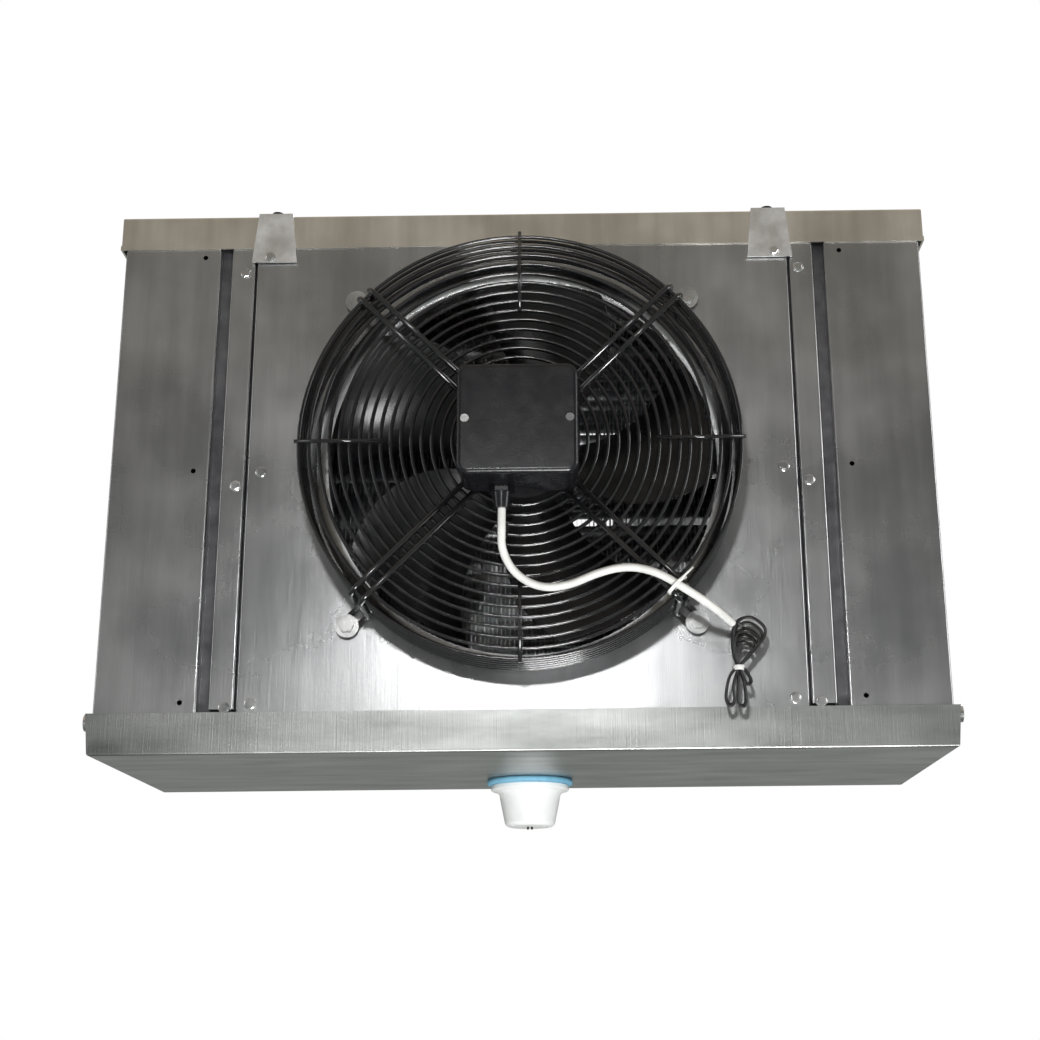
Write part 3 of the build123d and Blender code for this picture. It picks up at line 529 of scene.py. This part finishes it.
gate_apart, gate_r, gate_forward = 0.0044, 0.0013, 0.002
gate_y = drain.y - gate_forward
gate_sides = (-gate_apart / 2, gate_apart / 2)
gates = [[(x, gate_y, foot + foot_ring), (x, gate_y, fitting_low.z)] for x in gate_sides]
piece("drain_gate_marks", *tube(gates, gate_r, sides=10), "pan", "black_plastic")

# %% [markdown]
# ## The seam screws
# The casing is held by small hexagon screws with a washer formed under the head. They are the brightest
# specks on the casing, because fresh zinc stays cleaner than mill-finish aluminium. Each is a thin disc
# with a hexagon on it, both with a small bevel, and each is turned by its own amount, as tightening
# leaves them.

# %% The seam screws
washer_r, washer_rim, washer_thick, washer_bevel = 0.0058, 0.0006, 0.0009, 0.0005
head_r, head_flat, head_height, head_bevel = 0.0048, 0.0023, 0.0028, 0.0007


def screw_head(x, front, z, twist):
    """Corners and faces of a washer-faced hexagon head that stands off a sheet."""
    corners, faces = [], []

    def stack(levels, sides):
        """Discs of (radius, depth), each walled to the next and the last one closed."""
        discs = []
        for radius, depth in levels:
            discs.append(range(len(corners), len(corners) + sides))
            turns = [a + twist for a in around(sides)]
            corners.extend([(x + radius * cos(a), front - depth, z + radius * sin(a)) for a in turns])
        for lower, upper in zip(discs, discs[1:]):
            for k in range(sides):
                n = (k + 1) % sides
                faces.append((lower[k], lower[n], upper[n], upper[k]))
        faces.append(tuple(discs[-1]))

    stack(((washer_r, 0.0), (washer_r, washer_rim), (washer_r - washer_bevel, washer_thick)), 24)
    stack(((head_r, washer_thick), (head_r, head_flat), (head_r - head_bevel, head_height)), 6)
    return corners, faces


casing_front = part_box("fan_plate")[0].y
bracket_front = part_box("hanger_brackets")[0].y
strip_low, strip_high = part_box("seam_strip_left")
off_strip_middle, off_strip_edge = 0.0035, 0.0165
strip_screw_x = (strip_low.x + strip_high.x) / 2 + off_strip_middle
plate_screw_x = strip_high.x + off_strip_edge
screw_places = [
    (side * x, front, z)
    for x, front, levels in (
        (strip_screw_x, casing_front, (-0.0695, -0.311, -0.544)),
        (plate_screw_x, casing_front, (-0.296, -0.540)),
        (plate_screw_x, bracket_front, (-0.0515,)),
    )
    for z in levels
    for side in (1, -1)
]
heads = [screw_head(*place, chance.uniform(0, pi / 3)) for place in screw_places]
piece("seam_screw_heads", *joined(*heads), "root", "zinc_steel", ["seam_screws"], smooth=False)

# %% [markdown]
# ## How a finish is made
# Each material is a small tree of nodes. Noise at two scales mixes a darker and a lighter shade of the
# base colour. The coarser noise also moves the roughness, because handling changes the shine of a
# surface before it changes its colour. The finer noise, stretched along one direction for rolled metal,
# makes the bump, and rolled sheet adds hairlines to it. The noise is laid in each piece's own
# coordinates, so the marks move with the piece.

# %% The material helper
cloud_share = 0.15
hair_grain, hair_stretch = 900.0, (1.0, 1.0, 0.02)
relief_depth = 0.001


def finish(
    name,
    dark,
    light,
    rough,
    metallic=0.0,
    grain=40.0,
    stretch=(1, 1, 1),
    bump=0.05,
    hairs=0.0,
    coat=0.0,
):
    """A procedural finish: two shades, a range of roughness, a grain direction and rolled hairlines."""
    material = bpy.data.materials.new(name)
    material.use_nodes = True
    tree = material.node_tree
    shader = tree.nodes["Principled BSDF"]
    shader.inputs["Metallic"].default_value = metallic
    shader.inputs["Coat Weight"].default_value = coat
    place = tree.nodes.new("ShaderNodeTexCoord").outputs["Object"]

    def scaled(scale):
        node = tree.nodes.new("ShaderNodeMapping")
        node.inputs["Scale"].default_value = scale
        tree.links.new(place, node.inputs["Vector"])
        return node.outputs["Vector"]

    def noise(scale, detail, source):
        node = tree.nodes.new("ShaderNodeTexNoise")
        node.inputs["Scale"].default_value = scale
        node.inputs["Detail"].default_value = detail
        tree.links.new(source, node.inputs["Vector"])
        return node.outputs["Fac"]

    def spread(value, low, high, to_low, to_high):
        node = tree.nodes.new("ShaderNodeMapRange")
        for key, number in (("From Min", low), ("From Max", high), ("To Min", to_low), ("To Max", to_high)):
            node.inputs[key].default_value = number
        tree.links.new(value, node.inputs["Value"])
        return node.outputs["Result"]

    def weighted(value, share, rest):
        node = tree.nodes.new("ShaderNodeMath")
        node.operation = "MULTIPLY_ADD"
        node.inputs[1].default_value = share
        tree.links.new(value, node.inputs[0])
        tree.links.new(rest, node.inputs[2])
        return node.outputs[0]

    clouds = noise(grain * cloud_share, 8.0, place)
    streaks = noise(grain, 4.0, scaled(stretch))

    # The two noises together run from 0 to 2, and most of their sum lies near 1.
    shades = tree.nodes.new("ShaderNodeMix")
    shades.data_type = "RGBA"
    shades.inputs["A"].default_value = (*dark, 1)
    shades.inputs["B"].default_value = (*light, 1)
    tree.links.new(spread(weighted(streaks, 1.0, clouds), 0.72, 1.28, 0, 1), shades.inputs["Factor"])
    tree.links.new(shades.outputs["Result"], shader.inputs["Base Color"])
    tree.links.new(spread(clouds, 0.35, 0.65, *rough), shader.inputs["Roughness"])

    height = weighted(noise(hair_grain, 3.0, scaled(hair_stretch)), hairs, streaks) if hairs else streaks
    relief = tree.nodes.new("ShaderNodeBump")
    relief.inputs["Strength"].default_value = bump
    relief.inputs["Distance"].default_value = relief_depth
    tree.links.new(height, relief.inputs["Height"])
    tree.links.new(relief.outputs["Normal"], shader.inputs["Normal"])
    return material


# %% [markdown]
# ## Metals
# The casing is mill-finish aluminium, just as it leaves the rolls: grey, softly mirrored, and marked with
# faint scuffs. Galvanised steel is brighter and a little spangled. Zinc-plated screws are the shiniest.
# Copper inside the coil has dulled to brown, and the fins are thin bright foil. Three aluminium pieces
# differ from the casing by painted light in their colour: the roof's paler, slightly yellow base is a
# painted warm reflection of the ceiling; the pan's darker base is painted shade that dims the flash on its
# lip, and its mottling is painted reflection for the smudgy mirror on its underside; the tube sheets
# behind the seams are near black, painted shade for their recess.

# %% Metal finishes
rolled_upwards = {"metallic": 1.0, "grain": 60.0, "stretch": (1, 1, 0.10), "bump": 0.12, "hairs": 0.8}
finishes = {
    "aluminium_sheet": finish(
        "mill_aluminium", (0.42, 0.425, 0.43), (0.56, 0.565, 0.57), (0.25, 0.33), **rolled_upwards
    ),
    "galvanised_steel": finish(
        "galvanised",
        (0.80, 0.80, 0.80),
        (0.96, 0.96, 0.96),
        (0.34, 0.50),
        metallic=1.0,
        grain=160.0,
        bump=0.12,
    ),
    "zinc_steel": finish(
        "zinc_plate",
        (0.66, 0.67, 0.68),
        (0.84, 0.84, 0.83),
        (0.16, 0.28),
        metallic=1.0,
        grain=220.0,
        bump=0.04,
    ),
    "black_steel": finish(
        "black_bolts", (0.012, 0.012, 0.012), (0.03, 0.03, 0.03), (0.3, 0.5), metallic=0.6, grain=150.0
    ),
    "aluminium_fins": finish(
        "fin_foil",
        (0.55, 0.56, 0.57),
        (0.80, 0.81, 0.82),
        (0.25, 0.45),
        metallic=1.0,
        grain=60.0,
        stretch=(1, 0.3, 1),
    ),
    "copper": finish(
        "dull_copper", (0.42, 0.20, 0.12), (0.72, 0.42, 0.28), (0.28, 0.50), metallic=1.0, grain=70.0
    ),
    "brass": finish(
        "turned_brass",
        (0.55, 0.40, 0.16),
        (0.75, 0.58, 0.28),
        (0.25, 0.4),
        metallic=1.0,
        grain=90.0,
        stretch=(1, 1, 6),
    ),
    "steel": finish(
        "ground_steel",
        (0.45, 0.45, 0.46),
        (0.65, 0.65, 0.66),
        (0.2, 0.35),
        metallic=1.0,
        grain=120.0,
        stretch=(6, 1, 6),
    ),
}
# The pan's darker base is painted shade that dims the flash's mirror on its lip, and its coarse mottling is
# painted reflection for the smudgy mirror on its underside.
pan_shade_and_reflection_finish = finish(
    "pan_aluminium",
    (0.23, 0.24, 0.23),
    (0.50, 0.51, 0.50),
    (0.32, 0.42),
    metallic=1.0,
    grain=34.0,
    stretch=(0.25, 1, 1),
    bump=0.40,
    hairs=0.4,
)
# The roof's pale, slightly yellow base is a painted warm reflection of the ceiling that its lip mirrors.
roof_warm_reflection_finish = finish(
    "roof_aluminium", (0.70, 0.665, 0.60), (0.92, 0.875, 0.79), (0.28, 0.38), **rolled_upwards
)
# The tube sheets' near-black base is painted shade for the recess behind the seams.
tube_sheet_shade_finish = finish(
    "dull_aluminium", (0.10, 0.10, 0.11), (0.20, 0.20, 0.21), (0.45, 0.6), metallic=1.0, grain=60.0
)
print("metals:", ", ".join(finishes))

# %% [markdown]
# ## Coatings, plastics and rubber
# The guard's coating is glossy, so it catches a thin line of light along every wire. The blades, the
# motor and the terminal box are satin. The gasket is the only coloured piece, a pale blue, and the
# white pieces have a slightly yellowed low end so that they don't look painted.

# %% Coatings and plastics
finishes |= {
    "black_wire": finish(
        "wire_coating",
        (0.004, 0.004, 0.005),
        (0.012, 0.012, 0.013),
        (0.08, 0.16),
        grain=180.0,
        bump=0.04,
        coat=0.6,
    ),
    "black_motor": finish(
        "motor_coating", (0.006, 0.006, 0.007), (0.016, 0.016, 0.017), (0.35, 0.55), grain=160.0, bump=0.10
    ),
    "black_blades": finish(
        "blade_coating", (0.004, 0.004, 0.005), (0.012, 0.012, 0.013), (0.22, 0.34), grain=90.0
    ),
    "black_plastic": finish(
        "box_plastic", (0.006, 0.006, 0.008), (0.010, 0.010, 0.012), (0.24, 0.28), grain=500.0, bump=0.06
    ),
    "black_pvc": finish(
        "conductor_pvc", (0.006, 0.006, 0.006), (0.018, 0.018, 0.018), (0.25, 0.40), grain=200.0
    ),
    "white_pvc": finish("lead_pvc", (0.66, 0.66, 0.63), (0.82, 0.82, 0.80), (0.30, 0.45), grain=80.0),
    "white_nylon": finish("tie_nylon", (0.74, 0.74, 0.72), (0.86, 0.86, 0.85), (0.25, 0.40), grain=120.0),
    "white_plastic": finish(
        "fitting_plastic", (0.85, 0.86, 0.86), (0.93, 0.94, 0.94), (0.22, 0.35), grain=60.0
    ),
    "blue_rubber": finish(
        "gasket_rubber", (0.14, 0.38, 0.56), (0.22, 0.50, 0.68), (0.45, 0.60), grain=120.0
    ),
}
print(len(finishes), "finishes in all")

# %% [markdown]
# ## Laying the finishes on the pieces
# The record says which material slot each CAD node has, and the finer pieces were given theirs as they
# were made. So one pass over both is enough, and no piece is left bare. The aluminium pieces whose
# colour carries painted shade or painted reflection come after it.

# %% Laying the finishes
slot_of_node = {part["node"]: part["material_slot"] for part in frame["record"]["subparts"]}
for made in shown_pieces():
    slot = slot_of_node.get(made.name) or slot_of_node.get(made.get("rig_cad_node")) or made.get("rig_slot")
    made.data.materials.clear()
    made.data.materials.append(finishes[slot])
for name, special in (
    ("drain_pan", pan_shade_and_reflection_finish),
    ("roof_panel", roof_warm_reflection_finish),
    ("tube_sheet_left", tube_sheet_shade_finish),
    ("tube_sheet_right", tube_sheet_shade_finish),
):
    frame["nodes"][name].data.materials[0] = special

# %% [markdown]
# ## The room
# A product picture has a plain white ground. The camera alone sees the world as white. The metal mirrors
# a plainer room instead: a dark floor, grey walls with a paler band low down, and a warm ceiling that
# the roof's lip picks up. Polished sheet looks like metal only when it has something dark to mirror. The
# room's shades are laid by height, from straight down at 0 to straight up at 1.

# %% The room
world = bpy.data.worlds.new("room")
world.use_nodes = True
scene.world = world
tree = world.node_tree
tree.nodes.clear()
output = tree.nodes.new("ShaderNodeOutputWorld")
seen = tree.nodes.new("ShaderNodeBackground")
seen.inputs["Color"].default_value = (1, 1, 1, 1)
lit = tree.nodes.new("ShaderNodeBackground")
lit.inputs["Strength"].default_value = 1.0
rays = tree.nodes.new("ShaderNodeLightPath")
choice = tree.nodes.new("ShaderNodeMixShader")
direction = tree.nodes.new("ShaderNodeTexCoord")
parts = tree.nodes.new("ShaderNodeSeparateXYZ")
shade = tree.nodes.new("ShaderNodeValToRGB")
lift = tree.nodes.new("ShaderNodeMapRange")
lift.inputs["From Min"].default_value = -1
tree.links.new(direction.outputs["Generated"], parts.inputs[0])
tree.links.new(parts.outputs["Z"], lift.inputs["Value"])
tree.links.new(lift.outputs["Result"], shade.inputs["Fac"])
shades_of_room = (
    (0.00, (0.14, 0.145, 0.14)),
    (0.36, (0.30, 0.315, 0.295)),
    (0.44, (0.52, 0.54, 0.51)),
    (0.52, (0.24, 0.24, 0.245)),
    (0.60, (0.15, 0.15, 0.15)),
    (0.69, (0.15, 0.15, 0.145)),
    (0.74, (0.34, 0.30, 0.24)),
    (1.00, (0.40, 0.37, 0.33)),
)
stops = shade.color_ramp.elements
for height, _ in shades_of_room[1:-1]:
    stops.new(height)
for stop, (height, colour) in zip(stops, shades_of_room):
    stop.position, stop.color = height, (*colour, 1)
tree.links.new(shade.outputs["Color"], lit.inputs["Color"])
tree.links.new(rays.outputs["Is Camera Ray"], choice.inputs["Fac"])
tree.links.new(lit.outputs["Background"], choice.inputs[1])
tree.links.new(seen.outputs["Background"], choice.inputs[2])
tree.links.new(choice.outputs["Shader"], output.inputs["Surface"])
print("the room has", len(stops), "shades from floor to ceiling")

# %% [markdown]
# ## The lamps
# One small lamp near the camera works like a flash. It leaves a soft bright patch low on the fan plate,
# where the sheet mirrors it, a thin line on every wire, and a spark on every screw. A lamp below lights
# the white drain and the lead without showing in the sheet, and one at each side grazes the wires.
# The last one stands behind and shows the coil, and a little of it comes through between the fins.

# %% The lamps
plate_middle = (0, -0.16, -0.3)
for name, place, aim, width, height, power in (
    ("flash", (-0.06, -1.86, -0.17), (0, -0.16, -0.50), 0.14, 0.10, 4.5),
    ("from_below", (0.25, -1.45, -1.75), (0, 0, -0.55), 0.5, 0.4, 34),
    ("side_left", (-2.9, -0.9, 0.2), plate_middle, 0.8, 1.2, 6),
    ("side_right", (2.9, -0.9, 0.2), plate_middle, 0.8, 1.2, 18),
    ("behind", (0.8, 2.6, 0.9), (0, 0, -0.3), 1.6, 1.2, 30),
):
    light = bpy.data.lights.new(name, "AREA")
    light.shape = "RECTANGLE"
    light.size, light.size_y = width, height
    light.energy = power
    lamp = bpy.data.objects.new(name, light)
    scene.collection.objects.link(lamp)
    way = Vector(aim) - Vector(place)
    lamp.matrix_world = Matrix.LocRotScale(Vector(place), way.to_track_quat("-Z", "Y"), None)
    print(name, "shines with", power, "watts")

scene.view_settings.view_transform = "Standard"
scene.render.film_transparent = False
